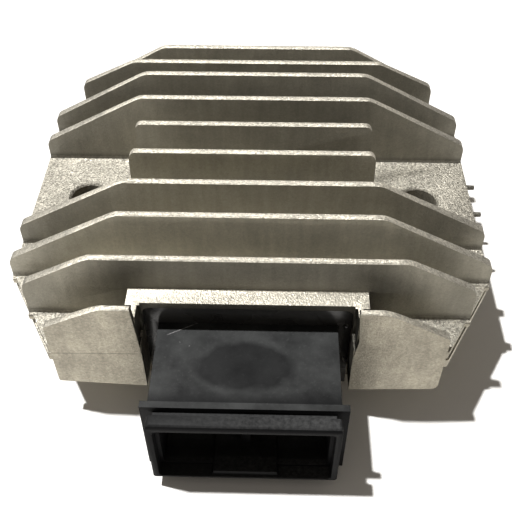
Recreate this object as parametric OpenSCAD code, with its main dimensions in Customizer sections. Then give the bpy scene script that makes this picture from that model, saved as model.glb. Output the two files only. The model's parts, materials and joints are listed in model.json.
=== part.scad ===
// Voltage regulator rectifier: a finned die-cast housing, a plug socket and the potted power electronics.
// Origin: centre of the two mounting holes, on the mounting face. +Y points away from the plug socket.

/* [Base plate] */
// Half width of the base plate, at the bolt ears
plate_half_w = 41.5; // [40:0.5:44]
// Half length of the straight sides of the plate
plate_side_y = 20; // [16:0.5:22]
// Half width of the plate at its front and rear edges
plate_end_w = 32.3; // [30:0.5:35]
// Thickness of the plate
plate_t = 3.6; // [3:0.1:5]
// Step between the two die halves, all round the plate
parting_step = 0.2; // [0.15:0.05:0.4]
// Corner radius of the plate outline
plate_r = 2; // [1:0.25:3]
// Diameter of the two gate stubs on the plate's right edge
stub_d = 0.9; // [0.6:0.1:1.2]
// How far the gate stubs stand out
stub_len = 2; // [0.5:0.25:2.5]

/* [Fins] */
// Distance from fin to fin
fin_pitch = 8; // [7.6:0.1:8.4]
// Thickness of a fin at its top edge
fin_top_t = 1.15; // [1:0.05:1.6]
// Draft of each fin side, in degrees
fin_draft = 1.6; // [1:0.1:2.5]
// Radius where a fin meets the plate
fin_root_r = 0.7; // [0.4:0.1:1]
// Height of the tall fins over the plate
fin_h = 14.6; // [12:0.2:18]
// Height of the rear fin over the plate
fin_rear_h = 10.7; // [9:0.2:12]
// Height of the second fin from the rear over the plate
fin_second_h = 12.2; // [11:0.2:14]
// Height of the fin behind the socket hood over the plate
fin_ninth_h = 12.8; // [11:0.2:14]
// Half length of the short fins between the bolt pockets
fin_short_half = 21.6; // [20:0.2:23]
// Half length of the straight top of the tall fins
fin_flat_half = 21.4; // [20:0.2:23]
// Radius where the straight top turns into the slope
fin_bend_r = 7; // [3:0.5:9]
// Radius of the outer corners of the fins
fin_corner_r = 1.8; // [1:0.2:2.4]

/* [Front wall and hood] */
// Height of the front wall over the plate
wall_h = 9.4; // [8:0.2:11]
// Depth of the front wall below the plate, beside the socket
wall_skirt = 7; // [5:0.25:9]
// How much higher the lower edge is at the wall's left end
skirt_rise_left = 1; // [0:0.1:2]
// How much higher the lower edge is at the wall's right end
skirt_rise_right = 0.6; // [0:0.1:2]
// Thickness of the front wall at its top
wall_t = 1.05; // [0.9:0.05:1.6]
// Width of the gap between the socket body and each side of its opening
socket_gap = 2.3; // [1.7:0.1:2.8]
// Thickness of the hood's side walls, with their outer fillets
hood_side_t = 2.25; // [1.75:0.25:3.5]
// Height of the hood over the plate
hood_h = 6.3; // [5.4:0.1:7]
// Length of the hood in front of the ninth fin
hood_len = 3.7; // [3:0.1:4.2]
// Thickness of the hood's roof
hood_roof_t = 1.2; // [1:0.1:1.6]
// Thickness of the webs that tie the hood to the front wall
web_t = 0.8; // [0.6:0.1:1.2]
// How far the webs stand back from the sides of the socket's opening
web_inset = 0.4; // [0:0.1:0.6]

/* [Tray and bolt ears] */
// Depth from the plate's underside to the mounting face
tray_h = 14; // [13:0.5:17]
// Distance from the side of the potting tray to the plate's front corner
tray_margin = 4.3; // [3.8:0.1:5.3]
// Tray's front face
tray_front = 28; // [27.5:0.5:29]
// Tray's rear face
tray_rear = 31; // [29:0.5:33]
// Wall of the tray
tray_wall = 2.4; // [2:0.1:3]
// Corner radius of the tray
tray_r = 5; // [4:0.5:7]
// Distance between the two mounting holes
hole_spacing = 63; // [61:0.5:65]
// Diameter of a mounting hole
hole_d = 6.8; // [6:0.1:7.4]
// Width of the chamfer at the mouth of a mounting hole
hole_chamfer = 0.45; // [0.3:0.05:0.6]
// Diameter of the boss under a bolt ear
boss_d = 14; // [13:0.5:16]

/* [Plug socket] */
// Half width of the socket body
socket_half = 14.7; // [14.2:0.1:15.2]
// Underside of the socket over the mounting face
socket_z = 2.7; // [2:0.1:3.5]
// Height of the socket body
socket_h = 15; // [14:0.25:15.5]
// Length of the socket from its root in the potting to the ridge
socket_len = 19.6; // [18:0.1:22]
// How far the ridge stands out beyond the sides and the underside of the body
ridge_out = 1.15; // [0.6:0.05:1.4]
// How far the ridge stands above the body
ridge_rise = 0.3; // [0.2:0.1:0.8]
// Thickness of the ridge
ridge_t = 1.15; // [1:0.05:1.8]
// Width of the groove in front of the ridge
groove_w = 1; // [0.8:0.1:1.8]
// Depth of the groove
groove_depth = 0.8; // [0.6:0.1:0.9]
// Length of the lip in front of the groove
lip_len = 2.15; // [2:0.05:4]
// Radius of the lip's upper front edge
lip_edge_r = 0.8; // [0.4:0.1:1]
// Side wall of the lip
lip_side_t = 0.95; // [0.9:0.05:1.2]
// Upper wall of the lip
lip_top_t = 1.4; // [1.2:0.1:1.6]
// Lower wall of the lip
lip_floor_t = 0.6; // [0.5:0.05:0.8]
// Step inside the lip, where the chambers narrow
chamber_step = 0.55; // [0.5:0.05:0.8]
// Depth of the two chambers behind the lip's face
chamber_depth = 17; // [14:0.5:18]
// Thickness of the divider between the chambers
divider_t = 1.4; // [1.2:0.1:2]
// How far the divider stands back from the lip's face
divider_back = 5.4; // [5.2:0.1:7]
// Width of the raised key on the chamber floor
key_w = 10; // [8:0.2:11]
// Height of the raised key
key_h = 1.1; // [0.8:0.1:1.4]

/* [Terminals] */
// Width of a blade
blade_w = 6.3; // [5:0.1:6.5]
// Thickness of a blade
blade_t = 0.8; // [0.6:0.1:1]
// Distance from blade to blade in a chamber
blade_pitch = 4; // [3.6:0.1:4.1]
// Width of the foot that is soldered to the board
foot_w = 2.6; // [2:0.1:3]
// Length of that foot
foot_len = 3.2; // [2.5:0.1:3.6]

/* [Electronics] */
// Gap between the power board's sides and the tray's wall
board_side_gap = 3.6; // [1.6:0.2:4.6]
// Gap between the power board's rear edge and the tray's wall
board_gap = 4.6; // [4.1:0.5:6.1]
// Thickness of the power board
board_t = 1.6; // [1:0.1:2]
// Thickness of the adhesive over the power board
glue_t = 0.25; // [0.15:0.05:0.4]
// Depth of the potting's surface inside the tray's rim
potting_recess = 1.2; // [0.8:0.1:2]
// Width of a thyristor or diode package
package_w = 10; // [9:0.25:10.5]
// Length of a thyristor or diode package
package_len = 9; // [8:0.25:9.25]
// Distance from the outer packages to the power board's side
package_edge = 3.5; // [2.5:0.25:4.5]
// Height of a thyristor or diode package
package_h = 4.4; // [4:0.1:4.7]
// Thickness of the bus bars
bar_t = 0.8; // [0.6:0.1:1]
// Width of the bus bars
bar_w = 3; // [2.4:0.2:3.2]
// Thickness of the control board
control_t = 1; // [0.8:0.1:1.2]
// Width of the control board beyond the middles of the outer packages
control_margin = 3; // [2.5:0.25:4]
// Diameter of the filter capacitor
capacitor_d = 6.3; // [5:0.1:6.6]
// Distance between the drive transistors
transistor_pitch = 6; // [5.4:0.2:6.6]

/* [Hidden] */
// Height levels over the mounting face
plate_z = tray_h;
plate_top = plate_z + plate_t;
parting_z = plate_z + plate_t / 2;
// Gate stubs, under the parting line
stub_z = parting_z - 0.6;
stub_rows = [6.5, -1.2];
// Half width of the opening for the socket
mouth_half = socket_half + socket_gap;
hood_half = mouth_half + hood_side_t;
// Half width of the potting tray
tray_half_w = plate_end_w - tray_margin;
// Front face of the front wall and rear edge of the plate
wall_y = -4.5 * fin_pitch + 0.1;
plate_rear_y = 4.5 * fin_pitch + 1.6;
// Slope of a drafted side, as a width per height
draft = tan(fin_draft);
// Sizes that only keep cuts clean
cut = 1;
// Fins from the rear to the hood: place in pitches, half flat, half end, top and end height over the plate
fin_rows = [
    [4.5, fin_flat_half - 1.6, plate_end_w - 0.5, fin_rear_h, 4.0],
    [3.5, fin_flat_half + 3.4, plate_side_w(3.5 * fin_pitch) - 0.4, fin_second_h, 6.6],
    [2.5, fin_flat_half, plate_half_w - 0.5, fin_h, 4.0],
    [1.5, fin_flat_half, plate_half_w - 0.4, fin_h, 4.1],
    [-1.5, fin_flat_half, plate_half_w - 0.4, fin_h, 4.1],
    [-2.5, fin_flat_half, plate_half_w - 0.5, fin_h, 4.0],
    [-3.5, fin_flat_half + 3.4, plate_side_w(3.5 * fin_pitch) - 0.4, fin_ninth_h, 6.6]
];
// Heights of the front wall's left and right ends over the plate
wall_end_left = 4.7;
wall_end_right = 3.4;
wall_end_half = plate_end_w - 0.5;
wall_flat_left = 22.6;
wall_flat_right = 21.4;
wall_lean_left = 0.7;
wall_lean_right = 0.15;
wall_bow_right = 0.65;
// Hood
hood_rear_y = -3.5 * fin_pitch;
hood_front_y = hood_rear_y - fin_top_t / 2 - hood_len;
hood_back_y = hood_rear_y - fin_top_t / 2 - fin_ninth_h * draft - 0.1;
roof_z = plate_top + hood_h - hood_roof_t;
potting_face_y = hood_front_y + 1.5;
sill_z = socket_z - 0.9;
rib_t = 2;
// Socket levels
socket_top = socket_z + socket_h;
socket_root_y = -tray_front + 1.6;
socket_head_y = potting_face_y + 0.9;
root_top = plate_z - 0.4;
ridge_rear_y = socket_root_y - socket_len;
ridge_front_y = ridge_rear_y - ridge_t;
lip_rear_y = ridge_front_y - groove_w;
lip_front_y = lip_rear_y - lip_len;
lip_half = socket_half;
lip_z = socket_z - 0.3;
lip_top = socket_top - 0.1;
lip_mouth_half = lip_half - lip_side_t;
lip_mouth_z = lip_z + lip_floor_t;
lip_mouth_top = lip_top - lip_top_t;
chamber_rear_y = lip_front_y + chamber_depth;
chamber_half = lip_mouth_half - chamber_step;
chamber_z = lip_mouth_z + chamber_step;
chamber_top = lip_mouth_top - chamber_step;
divider_y = lip_front_y + divider_back;
// Terminals
blade_z = (chamber_z + chamber_top) / 2;
blade_tip_y = divider_y + 0.6;
chamber_mid = (chamber_half + divider_t / 2) / 2;
// Power board, seen from below
board_front_y = -20;
board_half_w = tray_half_w - tray_wall - board_side_gap;
board_len = tray_rear - tray_wall - board_gap - board_front_y;
board_top = plate_z - glue_t;
board_z = board_top - board_t;
package_z = board_z - package_h;
control_z = package_z - control_t;
package_step = board_half_w - package_w / 2 - package_edge;
diode_y = board_front_y + board_len - package_len / 2 - 5;
thyristor_y = diode_y - package_len - bar_w - 4;
zener_d = 2.6;
zener_len = 5.2;
$fn = 48;

// Half width of the plate at a distance y from its middle
function plate_side_w(y) = y <= plate_side_y ? plate_half_w
    : plate_half_w - (plate_half_w - plate_end_w) * (y - plate_side_y) / (-wall_y - plate_side_y);
function unit(v) = v / norm(v);
function mirror_x(p) = [for (i = [len(p) - 1:-1:0]) [-p[i].x, p[i].y]];
// Points of an arc of radius r that rounds the corner b between a and c
function fillet(a, b, c, r, n) = r <= 0 ? [b] : let (
    u = unit(a - b), v = unit(c - b), half = acos(u * v) / 2,
    m = b + unit(u + v) * r / sin(half), s = b + u * r / tan(half) - m, e = b + v * r / tan(half) - m,
    start = atan2(s.y, s.x), turn = atan2(s.x * e.y - s.y * e.x, s * e)
) [for (i = [0:n]) m + r * [cos(start + turn * i / n), sin(start + turn * i / n)]];
// Outline with each corner rounded by its own radius
function rounded(p, r, n = 6) = [for (i = [0:len(p) - 1])
    each fillet(p[(i + len(p) - 1) % len(p)], p[i], p[(i + 1) % len(p)], r[i], n)];
function same(r, n) = [for (i = [1:n]) r];
function rect(x0, x1, y0, y1) = [[x0, y0], [x1, y0], [x1, y1], [x0, y1]];

// Box between two corners
module block(x0, x1, y0, y1, z0, z1) {
    translate([x0, y0, z0]) cube([x1 - x0, y1 - y0, z1 - z0]);
}
// Plate outline, drawn in by a margin
module plate_outline(margin) {
    right = [[plate_end_w - margin, wall_y + margin], [plate_half_w - margin, -plate_side_y],
        [plate_half_w - margin, plate_side_y], [plate_end_w - margin, plate_rear_y - margin]];
    polygon(rounded(concat(right, mirror_x(right)), [0.4, plate_r, plate_r, plate_r, plate_r, plate_r,
        plate_r, 0.4], 5));
}
// Cross-section of a fin over the plate, with its draft and root radius
module fin_section(top_t, h) {
    top = top_t / 2;
    root = top + h * draft;
    side = [[root + fin_root_r, -cut], [root + fin_root_r, 0], [root + fin_root_r * 0.3, fin_root_r * 0.3],
        [root - fin_root_r * draft, fin_root_r], [top, h - 0.25], [top - 0.25, h]];
    polygon(concat(side, mirror_x(side)));
}
// Fin with straight top and sloped ends
module sloped_fin(flat_half, end_half, h, end_h) {
    right = [[end_half, -cut], [end_half, end_h], [flat_half, h]];
    intersection() {
        rotate([90, 0, 90]) linear_extrude(2 * end_half + 2, center = true) fin_section(fin_top_t, h);
        rotate([90, 0, 0]) linear_extrude(fin_pitch, center = true)
            polygon(rounded(concat(right, mirror_x(right)), [0, fin_corner_r, fin_bend_r, fin_bend_r,
                fin_corner_r, 0]));
    }
}
// Short fin with upright drafted ends
module short_fin(half, h) {
    right = [[half + (h + cut) * draft, -cut], [half, h]];
    intersection() {
        rotate([90, 0, 90]) linear_extrude(2 * half + 4, center = true) fin_section(fin_top_t, h);
        rotate([90, 0, 0]) linear_extrude(fin_pitch, center = true)
            polygon(rounded(concat(right, mirror_x(right)), [0, fin_corner_r, fin_corner_r, 0]));
    }
}
// Wing of the front wall, from its outline seen from the front
module wing(outline, corner_r) {
    rear_top = wall_y + wall_t;
    rear_root = rear_top + wall_h * draft * 2;
    skirt_z = plate_z - wall_skirt;
    intersection() {
        rotate([90, 0, 90]) linear_extrude(2 * plate_half_w, center = true)
            polygon([[wall_y, skirt_z - cut], [wall_y, plate_top + wall_h - 0.2],
                [wall_y + 0.2, plate_top + wall_h], [rear_top - 0.2, plate_top + wall_h],
                [rear_top, plate_top + wall_h - 0.2], [rear_root, plate_top + 0.7],
                [rear_root + 0.7, plate_top], [rear_root + 0.7, plate_z], [rear_root, plate_z - 0.7],
                [rear_top, skirt_z - cut]]);
        rotate([90, 0, 0]) linear_extrude(3 * plate_half_w, center = true)
            polygon(rounded(outline, corner_r));
    }
}
// Front wall: a left wing that leans outwards and a right wing with a bowed inner end
module front_wall() {
    skirt_z = plate_z - wall_skirt;
    top_z = plate_top + wall_h;
    wing([[-wall_end_half, skirt_z + skirt_rise_left], [-mouth_half, skirt_z], [-mouth_half, parting_z],
        [-mouth_half - wall_lean_left, top_z], [-wall_flat_left, top_z],
        [-wall_end_half, plate_top + wall_end_left]], [0.4, 0, 0, 0.3, 9, 0.6]);
    wing([[wall_end_half, skirt_z + skirt_rise_right], [mouth_half, skirt_z], [mouth_half, parting_z],
        [mouth_half + wall_bow_right, plate_top + 2.4], [mouth_half + wall_lean_right, top_z],
        [wall_flat_right, top_z], [wall_end_half, plate_top + wall_end_right]], [1.2, 0, 0, 3, 0.3, 9, 1]);
}
// Hood over the root of the socket, with a web to each wing
module hood() {
    block(-hood_half, hood_half, hood_front_y, hood_rear_y, plate_z, plate_top + hood_h);
    for (side = [-1, 1])
        translate([side * (mouth_half + web_inset + web_t / 2), 0, 0]) block(-web_t / 2, web_t / 2,
            wall_y + wall_t - 0.2, hood_front_y + cut, plate_z, plate_top + hood_h);
}
// Tray walls and cavity, as outlines
module tray_outline(inset) {
    polygon(rounded(rect(-tray_half_w + inset, tray_half_w - inset, -tray_front + inset,
        tray_rear - inset), same(tray_r - inset / 2, 4)));
}
// Passage under the hood, with rounded upper corners
module passage(front_y, back_y) {
    rotate([90, 0, 0]) translate([0, 0, -back_y]) linear_extrude(back_y - front_y)
        polygon(rounded([[-mouth_half, sill_z], [mouth_half, sill_z], [mouth_half, roof_z],
            [-mouth_half, roof_z]], [0, 0, 1.6, 1.6]));
}
// Everything that the socket opening removes: the passage under the hood and through the front wall
module socket_opening() {
    // Under the hood
    passage(hood_front_y - cut, hood_back_y);
    // Through the plate and the front wall
    block(-mouth_half, mouth_half, wall_y - cut, hood_front_y + cut / 2, -cut, plate_top + wall_h + cut);
    // Through the tray's front wall, over its rim
    block(-mouth_half, mouth_half, -tray_front - cut, -tray_front + tray_wall + 0.01, sill_z, plate_z);
}
module bolt_hole(side) {
    translate([side * hole_spacing / 2, 0, -cut]) cylinder(d = hole_d, h = plate_top + 2 * cut);
    translate([side * hole_spacing / 2, 0, plate_top - hole_chamfer])
        cylinder(d1 = hole_d, d2 = hole_d + 2 * hole_chamfer, h = hole_chamfer);
    translate([side * hole_spacing / 2, 0, plate_top - 0.001])
        cylinder(d = hole_d + 2 * hole_chamfer, h = cut);
}
// Stubs that are left on the plate's edge where the casting was broken off its gates
module gate_stubs() {
    for (y = stub_rows) translate([plate_half_w - cut, y, stub_z]) rotate([0, 90, 0])
        cylinder(d1 = stub_d * 1.3, d2 = stub_d, h = stub_len + cut);
}
module housing() {
    color([0.8, 0.79, 0.74]) difference() {
        union() {
            translate([0, 0, plate_z]) linear_extrude(parting_z - plate_z) plate_outline(0);
            translate([0, 0, parting_z]) linear_extrude(plate_top - parting_z) plate_outline(parting_step);
            for (f = fin_rows)
                translate([0, f[0] * fin_pitch, plate_top]) sloped_fin(f[1], f[2], f[3], f[4]);
            for (k = [0.5, -0.5])
                translate([0, k * fin_pitch, plate_top]) short_fin(fin_short_half, fin_h);
            gate_stubs();
            front_wall();
            hood();
            linear_extrude(plate_z + cut / 2) difference() {
                tray_outline(0);
                tray_outline(tray_wall);
            }
            for (side = [-1, 1]) {
                translate([side * hole_spacing / 2, 0, 0]) cylinder(d = boss_d, h = plate_z + cut / 2);
                // Side walls of the passage, from the tray to the front wall
                block(side > 0 ? mouth_half : -mouth_half - rib_t, side > 0 ? mouth_half + rib_t : -mouth_half,
                    wall_y + wall_t, -tray_front + cut, plate_z - wall_skirt, plate_z + cut / 2);
            }
        }
        socket_opening();
        translate([0, 0, -cut]) linear_extrude(plate_z + cut) tray_outline(tray_wall);
        for (side = [-1, 1]) bolt_hole(side);
    }
}

// Outside of the socket: root, body, ridge, groove and lip
module socket_body() {
    block(-socket_half, socket_half, ridge_rear_y, socket_head_y, socket_z, socket_top);
    // Root that reaches into the tray, with a flange that the potting grips
    block(-socket_half, socket_half, socket_head_y - 0.1, socket_root_y, socket_z, root_top);
    block(-socket_half - 1.2, socket_half + 1.2, socket_root_y - 1.5, socket_root_y, socket_z, root_top);
    // Ridge
    block(-socket_half - ridge_out, socket_half + ridge_out, ridge_front_y, ridge_rear_y,
        socket_z - ridge_out, socket_top + ridge_rise);
    // Neck behind the lip
    block(-lip_half + groove_depth, lip_half - groove_depth, lip_rear_y, ridge_front_y,
        lip_z + groove_depth / 2, lip_top - groove_depth);
    // Lip with rounded front edges
    intersection() {
        rotate([90, 0, 0]) translate([0, 0, -lip_rear_y]) linear_extrude(lip_len)
            polygon(rounded(rect(-lip_half, lip_half, lip_z, lip_top), same(0.8, 4), 4));
        rotate([90, 0, 90]) linear_extrude(4 * lip_half, center = true)
            polygon(rounded(rect(lip_front_y, lip_rear_y, lip_z, lip_top), [0.3, 0, 0, lip_edge_r], 4));
    }
}
// The lip's mouth and the two chambers, with the divider set back and the key on the floor
module chambers() {
    difference() {
        union() {
            rotate([90, 0, 0]) translate([0, 0, -chamber_rear_y]) linear_extrude(chamber_depth + cut)
                polygon(rounded(rect(-chamber_half, chamber_half, chamber_z, chamber_top), same(0.5, 4), 3));
            rotate([90, 0, 0]) translate([0, 0, -lip_rear_y]) linear_extrude(lip_len + cut)
                polygon(rounded(rect(-lip_mouth_half, lip_mouth_half, lip_mouth_z, lip_mouth_top),
                    same(0.7, 4), 3));
        }
        block(-divider_t / 2, divider_t / 2, divider_y, chamber_rear_y + cut, 0, socket_top);
        rotate([90, 0, 0]) translate([0, 0, -chamber_rear_y - cut])
            linear_extrude(chamber_rear_y - lip_front_y + cut - 0.4)
                polygon([[-key_w / 2 - 0.6, lip_mouth_z - cut], [key_w / 2 + 0.6, lip_mouth_z - cut],
                    [key_w / 2, lip_mouth_z + key_h], [-key_w / 2, lip_mouth_z + key_h]]);
    }
}
// Centres of the blades, from left to right
function blade_x(i) = (i < 3 ? -chamber_mid : chamber_mid) + (i % 3 - 1) * blade_pitch;
// Blade, tail and soldered foot of terminal i
module terminal_shape(i) {
    x = blade_x(i);
    foot_y = board_front_y + foot_len;
    block(x - blade_t / 2, x + blade_t / 2, blade_tip_y + 0.8, socket_root_y, blade_z - blade_w / 2,
        blade_z + blade_w / 2);
    // Chamfered tip
    rotate([90, 0, 90]) translate([0, 0, x - blade_t / 2]) linear_extrude(blade_t)
        polygon([[blade_tip_y, blade_z - blade_w / 2 + 0.8], [blade_tip_y + 0.8, blade_z - blade_w / 2],
            [blade_tip_y + 0.8, blade_z + blade_w / 2], [blade_tip_y, blade_z + blade_w / 2 - 0.8]]);
    // Tail, upright inside the potting, that ends under the board
    block(x - blade_t / 2, x + blade_t / 2, socket_root_y, board_front_y - 0.8, blade_z - 1.6, board_z);
    block(x - foot_w / 2, x + foot_w / 2, board_front_y - 0.8, foot_y, board_z - blade_t, board_z);
}
module terminal(i) {
    color([0.78, 0.76, 0.7]) terminal_shape(i);
}
module phase_terminal_1() terminal(0);
module phase_terminal_2() terminal(1);
module phase_terminal_3() terminal(2);
module positive_terminal() terminal(3);
module ground_terminal() terminal(4);
module sense_terminal() terminal(5);
module connector_housing() {
    color([0.17, 0.17, 0.18]) difference() {
        socket_body();
        chambers();
        for (i = [0:5]) terminal_shape(i);
    }
}

// Power board on the tray's ceiling
module thermal_adhesive() {
    color([0.86, 0.86, 0.84])
        block(-board_half_w, board_half_w, board_front_y, board_front_y + board_len, board_top, plate_z);
}
module power_board() {
    color([0.62, 0.65, 0.66])
        block(-board_half_w, board_half_w, board_front_y, board_front_y + board_len, board_z, board_top);
}
// Package with a chamfered body, a tab and two leads, hanging from the board
module package_shape(x, y) {
    body_len = package_len;
    translate([x, y, 0]) {
        rotate([90, 0, 90]) linear_extrude(package_w, center = true)
            polygon([[-body_len / 2, board_z], [body_len / 2, board_z], [body_len / 2 - 0.5, package_z],
                [-body_len / 2 + 0.5, package_z]]);
        block(-package_w / 2 + 1, package_w / 2 - 1, body_len / 2 - 0.01, body_len / 2 + 1.3,
            board_z - 1.2, board_z);
        for (k = [-1, 1])
            block(k * 2.54 - 0.4, k * 2.54 + 0.4, -body_len / 2 - 1.6, -body_len / 2 + 0.3,
                board_z - 0.6, board_z);
    }
}
module power_package(i, y) {
    color([0.13, 0.13, 0.14]) package_shape((i - 2) * package_step, y);
}
module thyristor_1() power_package(1, thyristor_y);
module thyristor_2() power_package(2, thyristor_y);
module thyristor_3() power_package(3, thyristor_y);
module rectifier_diode_1() power_package(1, diode_y);
module rectifier_diode_2() power_package(2, diode_y);
module rectifier_diode_3() power_package(3, diode_y);
// Copper bars soldered along the board
module bar_shape(y) {
    block(-board_half_w + 2, board_half_w - 2, y, y + bar_w, board_z - bar_t, board_z);
}
positive_bar_y = thyristor_y + package_len / 2 + 1.7;
ground_bar_y = thyristor_y - package_len / 2 - 1.9 - bar_w;
module positive_bus_bar() color([0.72, 0.45, 0.3]) bar_shape(positive_bar_y);
module ground_bus_bar() color([0.72, 0.45, 0.3]) bar_shape(ground_bar_y);

// Control board, carried on the faces of the packages
module control_shape() {
    half = package_step + control_margin;
    block(-half, half, thyristor_y - 3, diode_y + 3, control_z, package_z);
}
module control_board() {
    color([0.16, 0.38, 0.24]) control_shape();
}
// Leaded parts lie on the control board's lower face
module zener_shape() {
    translate([-package_step + 1.5, thyristor_y + 2.5, control_z - zener_d / 2]) rotate([0, 90, 0])
        cylinder(d = zener_d, h = zener_len);
}
module transistor_shape(i) {
    x = 2.5 + (i - 1) * transistor_pitch;
    translate([x, diode_y - 1, 0]) rotate([90, 0, 0]) linear_extrude(3.4, center = true)
        polygon([[-2.2, control_z], [2.2, control_z], [2, control_z - 1.6], [-2, control_z - 1.6]]);
}
module capacitor_shape() {
    translate([package_step - 5, thyristor_y + 3.5, control_z - 3.4]) cylinder(d = capacitor_d, h = 3.4);
}
module resistor_shape(i) {
    block(-5 + 5 * i, -2.4 + 5 * i, thyristor_y + 6.1, thyristor_y + 11.3, control_z - 0.9, control_z);
}
module zener_diode() color([0.75, 0.35, 0.2]) zener_shape();
module drive_transistor_1() color([0.12, 0.12, 0.13]) transistor_shape(0);
module drive_transistor_2() color([0.12, 0.12, 0.13]) transistor_shape(1);
module drive_transistor_3() color([0.12, 0.12, 0.13]) transistor_shape(2);
module filter_capacitor() color([0.7, 0.6, 0.35]) capacitor_shape();
module sense_resistor_1() color([0.2, 0.2, 0.22]) resistor_shape(0);
module sense_resistor_2() color([0.2, 0.2, 0.22]) resistor_shape(1);

// Potting: fills the tray and the root of the socket, round every piece in it
module potting_compound() {
    color([0.1, 0.1, 0.1]) difference() {
        union() {
            translate([0, 0, potting_recess]) linear_extrude(plate_z - potting_recess)
                tray_outline(tray_wall);
            passage(potting_face_y, hood_back_y);
            block(-mouth_half, mouth_half, hood_back_y - 0.1, -tray_front + tray_wall + 0.5, sill_z, plate_z);
        }
        socket_body();
        for (i = [0:5]) terminal_shape(i);
        block(-board_half_w, board_half_w, board_front_y, board_front_y + board_len, board_z, plate_z + cut);
        for (i = [1:3]) for (y = [thyristor_y, diode_y]) package_shape((i - 2) * package_step, y);
        bar_shape(positive_bar_y);
        bar_shape(ground_bar_y);
        control_shape();
        zener_shape();
        for (i = [0:2]) transistor_shape(i);
        capacitor_shape();
        for (i = [0:1]) resistor_shape(i);
    }
}

housing();
connector_housing();
potting_compound();
thermal_adhesive();
power_board();
thyristor_1();
thyristor_2();
thyristor_3();
rectifier_diode_1();
rectifier_diode_2();
rectifier_diode_3();
positive_bus_bar();
ground_bus_bar();
control_board();
zener_diode();
drive_transistor_1();
drive_transistor_2();
drive_transistor_3();
filter_capacitor();
sense_resistor_1();
sense_resistor_2();
phase_terminal_1();
phase_terminal_2();
phase_terminal_3();
positive_terminal();
ground_terminal();
sense_terminal();
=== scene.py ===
import json
import math

import bmesh
import bpy
import numpy as np
from mathutils import Matrix, Vector


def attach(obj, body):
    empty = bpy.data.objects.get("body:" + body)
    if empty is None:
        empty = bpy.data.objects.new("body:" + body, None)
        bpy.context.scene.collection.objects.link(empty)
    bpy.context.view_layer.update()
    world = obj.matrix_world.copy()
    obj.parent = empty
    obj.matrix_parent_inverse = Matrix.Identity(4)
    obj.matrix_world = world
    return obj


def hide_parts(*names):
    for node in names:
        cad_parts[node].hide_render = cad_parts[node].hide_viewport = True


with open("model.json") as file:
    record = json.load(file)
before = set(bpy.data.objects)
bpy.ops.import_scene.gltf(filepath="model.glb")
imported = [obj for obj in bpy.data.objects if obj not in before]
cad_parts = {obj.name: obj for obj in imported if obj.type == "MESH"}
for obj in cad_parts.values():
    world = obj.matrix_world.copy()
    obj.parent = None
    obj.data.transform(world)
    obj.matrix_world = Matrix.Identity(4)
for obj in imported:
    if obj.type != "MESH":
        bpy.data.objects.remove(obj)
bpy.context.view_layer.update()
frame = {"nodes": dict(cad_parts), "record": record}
nodes = frame["nodes"]
mm = 0.001

print("frame loaded:", len(nodes), "nodes")

# from a fit to the fins, the bolt holes and the socket's corners in the photograph
photoCamera = {
    "place": (3.77, -109.55, 117.41),  # mm
    "down": 46.63,                     # degrees below the horizon
    "turn": -1.72,                     # degrees round the vertical
    "roll": 0.34,                      # degrees round the line of sight
    "lens": 54.36,                     # mm
    "sensor": 36,                      # mm
    "nearest": 5,                      # mm
    "farthest": 20000,                 # mm
}


def makeCamera(values):
    # The line of sight comes from the two angles; right is sight x up, and both are then rolled round it.
    down, turn, roll = (math.radians(values[k]) for k in ("down", "turn", "roll"))
    sight = Vector((math.sin(turn) * math.cos(down), math.cos(turn) * math.cos(down), -math.sin(down)))
    right = sight.cross(Vector((0, 0, 1))).normalized()
    below = sight.cross(right)
    rolledRight = right * math.cos(roll) + below * math.sin(roll)
    rolledBelow = below * math.cos(roll) - right * math.sin(roll)
    turned = Matrix((rolledRight, -rolledBelow, -sight)).transposed().to_4x4()
    data = bpy.data.cameras.new("photoCamera")
    data.lens = values["lens"]
    data.sensor_width = values["sensor"]
    data.clip_start = values["nearest"] * mm
    data.clip_end = values["farthest"] * mm
    camera = bpy.data.objects.new("photoCamera", data)
    camera.matrix_world = Matrix.Translation(Vector(values["place"]) * mm) @ turned
    bpy.context.scene.collection.objects.link(camera)
    bpy.context.scene.camera = camera


makeCamera(photoCamera)
print("camera placed")


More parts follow.
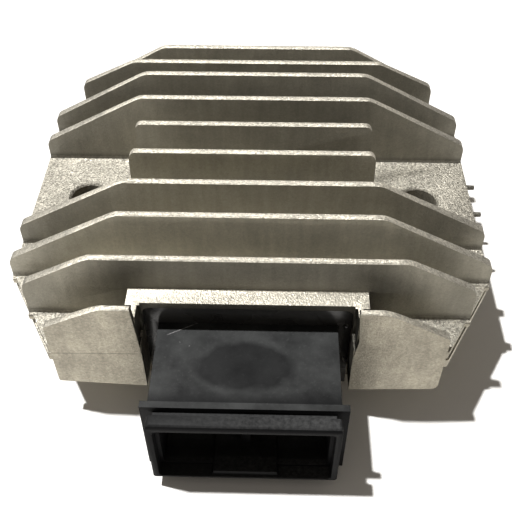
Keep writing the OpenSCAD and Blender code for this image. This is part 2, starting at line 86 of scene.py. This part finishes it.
# Builds one material: each call adds a node and returns its output. Sizes and depths are in millimetres.
class Shader:
    def __init__(self, name):
        self.material = bpy.data.materials.new(name)
        self.material.use_nodes = True
        self.tree = self.material.node_tree
        self.surface = self.tree.nodes["Principled BSDF"]
        self.place = self.add("ShaderNodeTexCoord").outputs["Object"]

    def add(self, kind, **settings):
        node = self.tree.nodes.new(kind)
        for key, value in settings.items():
            setattr(node, key, value)
        return node

    def put(self, socket, value):
        if isinstance(value, bpy.types.NodeSocket):
            self.tree.links.new(value, socket)
        else:
            socket.default_value = value

    def math(self, operation, first, second=0.0, third=0.0, clamp=False):
        node = self.add("ShaderNodeMath", operation=operation, use_clamp=clamp)
        for socket, value in zip(node.inputs, (first, second, third)):
            self.put(socket, value)
        return node.outputs[0]

    def times(self, *values):
        # the product of all the values
        product = values[0]
        for value in values[1:]:
            product = self.math("MULTIPLY", product, value)
        return product

    def without(self, value):
        # 1 - value
        return self.math("SUBTRACT", 1.0, value)

    def distance(self, first, second):
        # the root of first squared + second squared
        return self.math("SQRT", self.math("ADD", self.times(first, first), self.times(second, second)))

    def span(self, value, low, high, toLow=0.0, toHigh=1.0):
        # a ramp from toLow where the value is low to toHigh where it is high, steady beyond both
        node = self.add("ShaderNodeMapRange", clamp=True)
        for socket, item in zip(node.inputs, (value, low, high, toLow, toHigh)):
            self.put(socket, item)
        return node.outputs["Result"]

    def region(self, signals, ramps):
        # the product of the ramps, each one a signal's name with its values where the ramp is 0 and 1
        return self.times(*(self.span(signals[name], low, high) for name, low, high in ramps))

    def noise(self, size, detail=2.0, rough=0.5, where=None):
        # size is the width of one blob
        node = self.add("ShaderNodeTexNoise")
        self.put(node.inputs["Vector"], self.place if where is None else where)
        node.inputs["Scale"].default_value = 1 / (size * mm)
        node.inputs["Detail"].default_value = detail
        node.inputs["Roughness"].default_value = rough
        return node.outputs["Fac"]

    def cells(self, size, output="Distance"):
        # size is the width of one cell
        node = self.add("ShaderNodeTexVoronoi")
        self.put(node.inputs["Vector"], self.place)
        node.inputs["Scale"].default_value = 1 / (size * mm)
        return node.outputs[output]

    def blend(self, amount, first, second, kind="MIX"):
        # inputs 6 and 7 of the mix are its two colours, output 2 is the colour that it gives
        node = self.add("ShaderNodeMix", data_type="RGBA", blend_type=kind)
        self.put(node.inputs["Factor"], amount)
        for index, color in ((6, first), (7, second)):
            self.put(node.inputs[index], color if isinstance(color, bpy.types.NodeSocket) else (*color, 1))
        return node.outputs[2]

    def grey(self, value):
        node = self.add("ShaderNodeCombineXYZ")
        for socket in node.inputs:
            self.put(socket, value)
        return node.outputs[0]

    def scaled(self, vector, factor):
        node = self.add("ShaderNodeVectorMath", operation="SCALE")
        self.put(node.inputs[0], vector)
        self.put(node.inputs["Scale"], factor)
        return node.outputs[0]

    def parts(self, vector):
        node = self.add("ShaderNodeSeparateXYZ")
        self.put(node.inputs[0], vector)
        return node.outputs

    def millimetres(self):
        # x, y and z of the place on the piece
        return self.parts(self.scaled(self.place, 1 / mm))

    def normal(self):
        # how much the surface faces right, away from the socket and up, each from -1 to 1
        return self.parts(self.add("ShaderNodeNewGeometry").outputs["True Normal"])

    def bump(self, height, depth, strength=1.0, under=None):
        # depth is the difference of level between a height of 0 and one of 1
        node = self.add("ShaderNodeBump")
        node.inputs["Strength"].default_value = strength
        node.inputs["Distance"].default_value = depth * mm
        self.put(node.inputs["Height"], height)
        if under is not None:
            self.put(node.inputs["Normal"], under)
        return node.outputs["Normal"]

    def stretched(self, scale):
        # the place with each axis scaled: a small number draws a texture out along that axis
        node = self.add("ShaderNodeMapping")
        self.put(node.inputs["Vector"], self.place)
        node.inputs["Scale"].default_value = scale
        return node.outputs["Vector"]

    def finish(self, color, roughness, normal, **steady):
        self.put(self.surface.inputs["Base Color"], color)
        self.put(self.surface.inputs["Roughness"], roughness)
        self.put(self.surface.inputs["Normal"], normal)
        for key, value in steady.items():
            self.surface.inputs[key.replace("_", " ")].default_value = value
        return self.material


castMetal = {
    "top": (0.62, 0.585, 0.50),        # faces that look up: blasted, and painted brighter as the lit copy of the one metal
    "side": (0.32, 0.302, 0.250),      # upright faces between the fins: painted darker as the shaded copy of the one metal
    "wall": (0.415, 0.385, 0.315),     # the front wall and the sides below the plate's top: painted between the two as a half-lit copy
    "topRoughness": (0.50, 0.68),
    "sideRoughness": (0.55, 0.65),
    "grainSize": 0.34,                 # mm, one dent of the shot
    "grainDepth": 0.24,                # mm
    "grainTone": 0.40,                 # how much the grain lightens and darkens the colour
    "grainOnSides": 0.20,              # strength of the grain on the fins' sides
    "grainOnFins": 0.85,               # the same on the fins' tops
    "grainOnPlate": 1.35,
    "grainOnWall": 0.5,
    "cloudSize": 6.0,                  # mm, patches of tarnish
    "cloudTone": (0.88, 1.08),
    "flowSize": 4.5,                   # mm, flow marks on the front wall
    "flowTone": (-0.06, 0.20),         # how much they darken it
    "streakSize": 1.6,                 # mm, streaks down the fins' sides
    "streakTone": (0.90, 1.08),
    "swellSize": 4.0,                  # mm, the slow unevenness of a casting
    "swellDepth": 0.05,                # mm
    "holeX": 31.5,                     # mm, the bolt holes' place either side of the middle
    # painted light and shade: the fins' sides are painted brighter or darker from one row to the next: from y,
    # to y in mm, times
    "rows": ((0.0, -3.0, 1.40), (-9.0, -11.5, 0.83), (-13.5, -18.0, 1.5)),
    # painted shade: the last fin is darker, most so in its middle: from y, to y; from x, to x in mm, and how
    # much at both
    "lastRow": (-25.0, -26.5),
    "lastFin": (20.0, 30.0, 0.675, 0.22),
    # painted shade: the fins' ends are darker: from x, to x in mm, times; at the right from y, to y, times at
    # both
    "leftEnds": (-22.0, -34.0, 0.62),
    "rightEnds": (22.0, 34.0),
    "rightEndRows": (-10.0, -18.0, 0.85, 0.58),
    # the parting line on the left wing: from x, to x and its z at both, all in mm
    "parting": (-32.0, -14.0, 15.75, 16.05),
    "partingHalf": (0.16, 0.06),       # mm, half its width outside and inside its soft edge
    "partingFade": (-14.0, -20.0, 0.0, 0.32),  # from x, to x in mm, and how dark at both
}

# Places on the casting as products of ramps, each from 0 at the first value to 1 at the second:
# x, y, z and reach (from a bolt hole's axis) in mm; right, back and tall are the surface's direction;
# up, upright, onSides and inGap are made from the places here.
castPlaces = {
    "up": [("tall", 0.25, 0.85)],
    "wallFace": [("y", -34.0, -34.8), ("back", -0.7, -0.9)],
    "belowTop": [("z", 17.6, 17.2), ("upright", 0.0, 1.0)],
    "ledge": [("tall", 0.5, 0.8), ("z", 19.0, 18.5)],
    "leftward": [("right", -0.2, -0.5)],
}

# more places in the same form, each after how much darker it is than the faces round it; all but the left edges
# and the gate stubs are painted shade
castShades = {
    # painted shade: slopes turned to the right, away from the lamp
    "rightSlopes": (0.62, [("right", 0.15, 0.45), ("tall", 0.15, 0.35), ("z", 19.0, 20.0), ("x", 21.5, 37.0)]),
    # painted shade inside the bolt holes
    "boltHoles": (0.75, [("reach", 3.7, 3.4)]),
    # painted shade: the plate darker than the fins' tops, and its right part darker still
    "plate": (0.76, [("up", 0.0, 1.0), ("z", 20.0, 19.0)]),
    "plateRight": (0.95, [("up", 0.0, 1.0), ("z", 19.5, 18.5), ("x", 27.0, 41.0)]),
    # painted shade on the roof's front face
    "roofEdge": (0.30, [("y", -33.1, -32.7), ("y", -31.6, -32.0), ("back", -0.5, -0.8), ("z", 20.0, 21.5)]),
    # painted shade on the wing's end in the gap beside the socket
    "wingEnd": (0.20, [("inGap", 0.0, 1.0), ("y", -31.8, -32.2), ("x", 15.0, 15.5), ("x", 19.5, 19.0)]),
    "leftEdges": (0.50, [("right", -0.3, -0.6), ("z", 29.0, 28.0), ("x", -28.0, -30.0)]),
    "gateStubs": (0.40, [("x", 41.6, 41.8)]),
    # painted shade where the fins' sides meet the plate
    "finFeet": (0.45, [("z", 19.2, 17.8), ("onSides", 0.0, 1.0)]),
}


def castAluminium(values, places, shades):
    # colour = base, painted lighter on the tops and darker on the sides, x painted light and shade of the fins'
    # sides x grain x streaks x patches x flow marks x shades of the places, mostly painted shade, x parting
    # line
    s = Shader("castAluminium")
    x, y, z = s.millimetres()
    right, back, tall = s.normal()
    holeX = s.math("SUBTRACT", s.math("ABSOLUTE", x), values["holeX"])
    signals = {"x": x, "y": y, "z": z, "reach": s.distance(holeX, y),
               "right": right, "back": back, "tall": tall}
    up = signals["up"] = s.region(signals, places["up"])
    signals["upright"] = s.without(up)
    # the wall's half-lit painted colour is on the front wall's face and on every side below the plate's top
    onWall = s.math("MAXIMUM", s.region(signals, places["wallFace"]), s.region(signals, places["belowTop"]))
    topOrWall = s.math("MAXIMUM", up, onWall)
    signals["onSides"] = s.without(topOrWall)
    # in the gap beside the socket both the wing's end, which faces left, and the plate's ledge get painted
    # shade
    leftward, ledge = (s.region(signals, places[name]) for name in ("leftward", "ledge"))
    signals["inGap"] = s.math("MAXIMUM", leftward, ledge)

    onTops = s.span(z, 19.5, 19.0, values["grainOnFins"], values["grainOnPlate"])
    strength = s.math("MAXIMUM", s.span(up, 0.0, 1.0, values["grainOnSides"], onTops),
                      s.times(onWall, values["grainOnWall"]))
    dent = s.parts(s.cells(values["grainSize"], "Color"))[0]
    grain = s.noise(values["grainSize"] * 1.1, 2.0, 0.7)
    fine = s.noise(values["grainSize"] * 0.5, 1.0, 0.5)
    cloud = s.noise(values["cloudSize"], 4.0, 0.6)
    flow = s.noise(values["flowSize"], 5.0, 0.62, s.stretched((1, 1, 0.6)))
    streak = s.noise(values["streakSize"], 3.0, 0.6, s.stretched((1, 1, 0.12)))

    # speck = 1 + strength x tone x (0.65 noise + single dents); streaks only on sides, flow only on the wall
    salt = s.math("ADD", s.times(s.span(grain, 0.28, 0.72, -1.0, 1.0), 0.65), s.span(dent, 0.0, 1.0, -0.6, 0.6))
    speck = s.math("MULTIPLY_ADD", s.times(salt, values["grainTone"]), strength, 1.0)
    streakLow, streakHigh = (s.span(up, 0.0, 1.0, tone, 1.0) for tone in values["streakTone"])
    drawn = s.span(streak, 0.3, 0.7, streakLow, streakHigh)
    patch = s.span(cloud, 0.30, 0.70, *values["cloudTone"])
    stain = s.without(s.times(onWall, s.span(flow, 0.42, 0.68, *values["flowTone"])))

    # fins' sides, with painted light and shade: tones of the rows x tones of the ends x (1 - last fin's part),
    # all 1 on the tops and the wall
    rows = s.times(*(s.span(y, fromY, toY, 1.0, tone) for fromY, toY, tone in values["rows"]))
    last = s.times(s.span(y, *values["lastRow"]), s.span(s.math("ABSOLUTE", x), *values["lastFin"]))
    fromX, toX, leftTone = values["leftEnds"]
    ends = s.times(s.span(x, fromX, toX, 1.0, leftTone),
                   s.span(x, *values["rightEnds"], 1.0, s.span(y, *values["rightEndRows"])))
    sides = s.blend(topOrWall, s.grey(s.times(rows, ends, s.without(last))), (1.0, 1.0, 1.0))

    # the parting line rises a little to the right and fades there
    line = s.math("ABSOLUTE", s.math("SUBTRACT", z, s.span(x, *values["parting"])))
    line = s.times(s.span(line, *values["partingHalf"]), onWall, s.span(x, *values["partingFade"]))

    # the painted shade of the places above, with the darker left edges and gate stubs
    dim = s.times(*(s.span(s.region(signals, ramps), 0.0, 1.0, 1.0, tone) for tone, ramps in shades.values()))
    # painted light and shade: the lit tops' colour, the shaded sides' colour and the half-lit wall's colour
    base = s.blend(onWall, s.blend(up, values["side"], values["top"]), values["wall"])
    color = s.scaled(s.blend(1.0, base, sides, "MULTIPLY"),
                     s.times(speck, drawn, patch, stain, dim, s.without(line)))
    # height = (0.75 grain + 0.3 fine grain + 0.25 single dents) x strength, over the slow unevenness
    height = s.math("ADD", s.times(grain, 0.75), s.math("ADD", s.times(fine, 0.3), s.times(dent, 0.25)))
    swell = s.bump(s.noise(values["swellSize"], 3.0, 0.55), values["swellDepth"])
    low, high = (s.span(up, 0.0, 1.0, side, top)
                 for side, top in zip(values["sideRoughness"], values["topRoughness"]))
    return s.finish(color, s.span(fine, 0.3, 0.7, low, high),
                    s.bump(s.times(height, strength), values["grainDepth"], 1.0, swell), Metallic=1.0)


socketMoulding = {
    "color": (0.0042, 0.0042, 0.0045),
    "dust": (0.060, 0.0615, 0.0605),
    "rim": (0.040, 0.040, 0.040),      # the rubbed upper side of the mouth's rim
    "mark": (0.24, 0.23, 0.23),
    # a scratch and two chips: from x, y to x, y in mm, and half the width
    "marks": [(-13.1, -33.3, -7.6, -30.4, 0.10), (-9.3, -35.3, -9.1, -35.5, 0.16),
              (-10.9, -34.5, -10.7, -34.9, 0.10)],
    "ovalMiddle": (0.2, -39.2),        # mm, where the dust is rubbed off
    "ovalHalf": (6.8, 4.2),            # mm
    "dustInOval": 0.34,
    "darkerBehindRidge": 0.30,               # the body just behind the ridge gets this share of the lighter dust colour, so it is darker there
    "filmSize": 6.0,                   # mm, patches of dust
    "fleckSize": 0.45,                 # mm, single flecks
    "roughness": (0.50, 0.62),
    "dustRoughness": 0.2,              # more where dust lies
    "grainSize": 0.16,                 # mm, the moulding's texture
    "grainDepth": 0.02,                # mm
    "swellSize": 6.0,                  # mm
    "swellDepth": 0.05,                # mm
    "specularLevel": 0.07,
}


def scratches(s, x, y, marks):
    # A mark is (how far beside its line is under half the width) x (how far along the line is on it);
    # all of them together are the largest, broken up by a noise.
    every = []
    for fromX, fromY, toX, toY, half in marks:
        length = math.hypot(toX - fromX, toY - fromY)
        alongX, alongY = (toX - fromX) / length, (toY - fromY) / length
        awayX, awayY = s.math("SUBTRACT", x, fromX), s.math("SUBTRACT", y, fromY)
        along = s.math("ADD", s.times(awayX, alongX), s.times(awayY, alongY))
        beside = s.math("ABSOLUTE", s.math("SUBTRACT", s.times(awayX, alongY), s.times(awayY, alongX)))
        every.append(s.times(s.span(beside, half, half / 2), s.span(along, 0.0, 0.1),
                             s.span(along, length, length - 0.1)))
    found = every[0]
    for mark in every[1:]:
        found = s.math("MAXIMUM", found, mark)
    return s.times(found, s.span(s.noise(0.7, 2.0, 0.6), 0.35, 0.6, 0.15, 0.9))


def socketPlastic(values):
    # black moulding, dust = (0.7 film + 0.25 flecks) x what is left of it, then the rubbed rim and the marks
    s = Shader("socketPlastic")
    x, y, z = s.millimetres()
    up = s.span(s.normal()[2], 0.6, 0.95)
    # oval = (x from its middle / half its width) squared + the same of y, with a ragged edge
    fromMiddle = [s.times(s.math("SUBTRACT", place, middle), 1 / half)
                  for place, middle, half in zip((x, y), values["ovalMiddle"], values["ovalHalf"])]
    oval = s.math("ADD", *(s.times(part, part) for part in fromMiddle))
    ragged = s.math("ADD", oval, s.span(s.noise(7.0, 2.0, 0.5), 0.3, 0.7, -0.45, 0.45))
    # little dust in the oval; just behind the ridge less of the dust colour, so darker, but not on the ridge
    # itself, which is higher
    behindRidge = s.math("MAXIMUM", s.span(y, -43.5, -45.5, 1.0, values["darkerBehindRidge"]), s.span(z, 17.8, 17.9))
    left = s.times(s.span(ragged, 0.8, 1.35, values["dustInOval"], 1.0), behindRidge)
    film = s.span(s.noise(values["filmSize"], 4.0, 0.62), 0.28, 0.74, 0.22, 1.0)
    fleck = s.span(s.noise(values["fleckSize"], 2.0, 0.7), 0.58, 0.78)
    lying = s.times(s.math("MULTIPLY_ADD", film, 0.7, s.times(fleck, 0.25)), left)
    dust = s.math("MULTIPLY", up, lying, clamp=True)
    # the rim is rubbed more to the right
    onRim = s.times(s.span(y, -47.0, -47.4), up)
    rub = s.times(s.span(x, -15.0, 15.0, 0.15, 1.0), s.span(s.noise(0.6, 3.0, 0.75), 0.32, 0.68, 0.1, 1.3))
    color = s.blend(dust, values["color"], values["dust"])
    color = s.blend(s.math("MULTIPLY", onRim, rub, clamp=True), color, values["rim"])
    color = s.blend(s.times(scratches(s, x, y, values["marks"]), up), color, values["mark"])
    grain = s.noise(values["grainSize"], 2.0, 0.6)
    swell = s.bump(s.noise(values["swellSize"], 2.0, 0.5), values["swellDepth"])
    rough = s.math("ADD", s.times(dust, values["dustRoughness"]), s.span(grain, 0.3, 0.7, *values["roughness"]))
    return s.finish(color, rough, s.bump(grain, values["grainDepth"], 0.8, swell),
                    Specular_IOR_Level=values["specularLevel"])


castEpoxy = {
    "color": (0.026, 0.025, 0.024),
    "haze": (0.048, 0.047, 0.045),
    "hazeSize": 11.0,                  # mm
    "pitSize": 5.5,                    # mm, from one small pit to the next
    "swellSize": 14.0,                 # mm
    "depth": 0.25,                     # mm
    "roughness": (0.22, 0.36),
}


def pottingEpoxy(values):
    # haze mixes the two colours; height = half the pits + the slow swell
    s = Shader("pottingEpoxy")
    haze = s.span(s.noise(values["hazeSize"], 3.0, 0.5), 0.4, 0.7)
    pits = s.span(s.cells(values["pitSize"]), 0.04, 0.10)
    height = s.math("ADD", s.times(pits, 0.5), s.noise(values["swellSize"], 1.0, 0.4))
    return s.finish(s.blend(haze, values["color"], values["haze"]),
                    s.span(haze, 0.0, 1.0, *values["roughness"]), s.bump(height, values["depth"]))


bladeMetal = {
    "color": (0.74, 0.72, 0.66),
    "haze": (0.60, 0.58, 0.52),
    "hazeSize": 1.4,                   # mm
    "drawnSize": 0.25,                 # mm, fine lines along the blade
    "drawnDepth": 0.01,                # mm
    "roughness": (0.26, 0.40),
}


def tinnedBrass(values):
    # haze mixes the two colours; the height is a noise drawn out along y
    s = Shader("tinnedBrass")
    haze = s.noise(values["hazeSize"], 4.0, 0.6)
    drawn = s.noise(values["drawnSize"], 2.0, 0.5, s.stretched((1, 0.04, 1)))
    return s.finish(s.blend(s.span(haze, 0.35, 0.7), values["color"], values["haze"]),
                    s.span(haze, 0.3, 0.7, *values["roughness"]),
                    s.bump(drawn, values["drawnDepth"]), Metallic=1.0)


plainDepth = 0.01                      # mm
# hidden in the epoxy: name, two colours, mm of one cloud, lowest and highest roughness, metallic
plainFinishes = {
    "adhesive_film": ("adhesiveFilm", (0.80, 0.80, 0.78), (0.72, 0.72, 0.70), 1.5, 0.55, 0.66, 0.0),
    "board_aluminium": ("boardAluminium", (0.60, 0.62, 0.63), (0.52, 0.54, 0.55), 0.8, 0.35, 0.46, 0.8),
    "package_moulding": ("packageMoulding", (0.028, 0.028, 0.030), (0.042, 0.042, 0.043), 0.4, 0.45, 0.56, 0.0),
    "bar_copper": ("barCopper", (0.72, 0.40, 0.26), (0.55, 0.30, 0.20), 2.0, 0.27, 0.38, 1.0),
    "board_laminate": ("boardLaminate", (0.02, 0.12, 0.05), (0.03, 0.16, 0.07), 2.0, 0.23, 0.34, 0.0),
    "diode_glass": ("diodeGlass", (0.55, 0.16, 0.05), (0.42, 0.11, 0.03), 1.0, 0.10, 0.21, 0.0),
    "capacitor_can": ("capacitorCan", (0.74, 0.74, 0.72), (0.64, 0.64, 0.62), 0.6, 0.25, 0.36, 1.0),
    "resistor_body": ("resistorBody", (0.03, 0.03, 0.033), (0.05, 0.05, 0.05), 0.4, 0.35, 0.46, 0.0),
}


def plainFinish(name, color, other, size, smoothest, roughest, metallic):
    # colour, roughness and height drift between two values with the same soft noise
    s = Shader(name)
    drift = s.noise(size, 3.0, 0.6)
    return s.finish(s.blend(s.span(drift, 0.35, 0.65), color, other),
                    s.span(drift, 0.3, 0.7, smoothest, roughest), s.bump(drift, plainDepth),
                    Metallic=metallic)


finishes = {
    "cast_aluminium": castAluminium(castMetal, castPlaces, castShades),
    "socket_plastic": socketPlastic(socketMoulding),
    "potting_epoxy": pottingEpoxy(castEpoxy),
    "tinned_brass": tinnedBrass(bladeMetal),
}
finishes.update({slot: plainFinish(*values) for slot, values in plainFinishes.items()})

for piece in frame["record"]["subparts"]:
    mesh = nodes[piece["node"]].data
    mesh.materials.clear()
    mesh.materials.append(finishes[piece["material_slot"]])

print("finishes made:", len(finishes))

# radius in mm; angle in degrees, the smallest that counts as an edge
edges = {
    "housing": {"radius": 0.16, "segments": 2, "angle": 28, "slot": "cast_aluminium"},
    "connector_housing": {"radius": 0.22, "segments": 2, "angle": 30, "slot": "socket_plastic"},
    "potting_compound": {"radius": 0.30, "segments": 2, "angle": 30, "slot": "potting_epoxy"},
}
mergeWithin = 0.002                    # mm, points closer than this are one
flatWithin = 1.0                       # degrees, faces closer than this are one


def softened(node, values):
    # A copy of a CAD node with one face for each flat, and its edges sharper than the angle rounded.
    mesh = nodes[node].data.copy()
    mesh.name = node + "Rounded"
    piece = bpy.data.objects.new(node + "_rounded", mesh)
    bpy.context.scene.collection.objects.link(piece)
    bm = bmesh.new()
    bm.from_mesh(mesh)
    bmesh.ops.remove_doubles(bm, verts=bm.verts, dist=mergeWithin * mm)
    bmesh.ops.dissolve_limit(bm, angle_limit=math.radians(flatWithin), verts=bm.verts, edges=bm.edges)
    bm.to_mesh(mesh)
    bm.free()
    mesh.polygons.foreach_set("use_smooth", np.ones(len(mesh.polygons), bool))
    bevel = piece.modifiers.new("round", "BEVEL")
    bevel.width = values["radius"] * mm
    bevel.segments = values["segments"]
    bevel.limit_method = "ANGLE"
    bevel.angle_limit = math.radians(values["angle"])
    bevel.use_clamp_overlap = True
    bevel.harden_normals = True
    bevel.miter_outer = "MITER_ARC"
    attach(piece, "root")
    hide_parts(node)


for node, values in edges.items():
    softened(node, values)
print("edges rounded on", ", ".join(edges))

studio = {
    "lampPlace": (-370, 40, 1080),     # mm, where the corners of the shadow in the photograph put it
    "lampSize": 42,                    # mm
    "lampPower": 23.5,                 # W
    "fill": 0.205,                     # strength of the room's light
    "fillTone": (1.0, 0.925, 0.83),
    "white": 1.1,                      # strength of the white that the camera sees round the part
    "tableTone": (0.80, 0.785, 0.76),
    "tableSize": 6000,                 # mm
    "whiteFrom": 110,                  # mm from the part's middle, where the table starts to turn white
    "whiteAt": 220,                    # mm, where it is all white
}


def makeTable(values):
    # one flat square of paper under the part; for the camera, paper x (1 - amount) + white x amount
    half = values["tableSize"] / 2 * mm
    mesh = bpy.data.meshes.new("table")
    corners = [(-half, -half, 0), (half, -half, 0), (half, half, 0), (-half, half, 0)]
    mesh.from_pydata(corners, [], [(0, 1, 2, 3)])
    s = Shader("tableTop")
    surface = s.tree.nodes["Material Output"].inputs["Surface"]
    s.tree.nodes.remove(s.surface)
    paper = s.add("ShaderNodeBsdfDiffuse")
    s.put(paper.inputs["Color"], (*values["tableTone"], 1))
    white = s.add("ShaderNodeEmission")
    white.inputs["Strength"].default_value = values["white"]
    x, y, _ = s.millimetres()
    seen = s.add("ShaderNodeLightPath").outputs["Is Camera Ray"]
    amount = s.times(seen, s.span(s.distance(x, y), values["whiteFrom"], values["whiteAt"]))
    both = s.add("ShaderNodeMixShader")
    for socket, value in zip(both.inputs, (amount, paper.outputs[0], white.outputs[0])):
        s.put(socket, value)
    s.put(surface, both.outputs[0])
    mesh.materials.append(s.material)
    table = bpy.data.objects.new("table", mesh)
    bpy.context.scene.collection.objects.link(table)


def makeLamp(values):
    # a round lamp that faces the part
    data = bpy.data.lights.new("lamp", "AREA")
    data.shape = "DISK"
    data.size = values["lampSize"] * mm
    data.energy = values["lampPower"]
    lamp = bpy.data.objects.new("lamp", data)
    place = Vector(values["lampPlace"]) * mm
    lamp.matrix_world = Matrix.Translation(place) @ (-place).to_track_quat("-Z", "Y").to_matrix().to_4x4()
    bpy.context.scene.collection.objects.link(lamp)


def makeRoom(values):
    # a dim room that the camera sees as white; inputs 2 and 3 of the mix are its two numbers
    world = bpy.data.worlds.new("room")
    world.use_nodes = True
    tree = world.node_tree
    light = tree.nodes["Background"]
    light.inputs["Color"].default_value = (*values["fillTone"], 1)
    path = tree.nodes.new("ShaderNodeLightPath")
    strength = tree.nodes.new("ShaderNodeMix")
    tree.links.new(path.outputs["Is Camera Ray"], strength.inputs["Factor"])
    strength.inputs[2].default_value = values["fill"]
    strength.inputs[3].default_value = values["white"]
    tree.links.new(strength.outputs[0], light.inputs["Strength"])
    bpy.context.scene.world = world


makeTable(studio)
makeLamp(studio)
makeRoom(studio)
bpy.context.scene.view_settings.view_transform = "Standard"
print("studio ready")
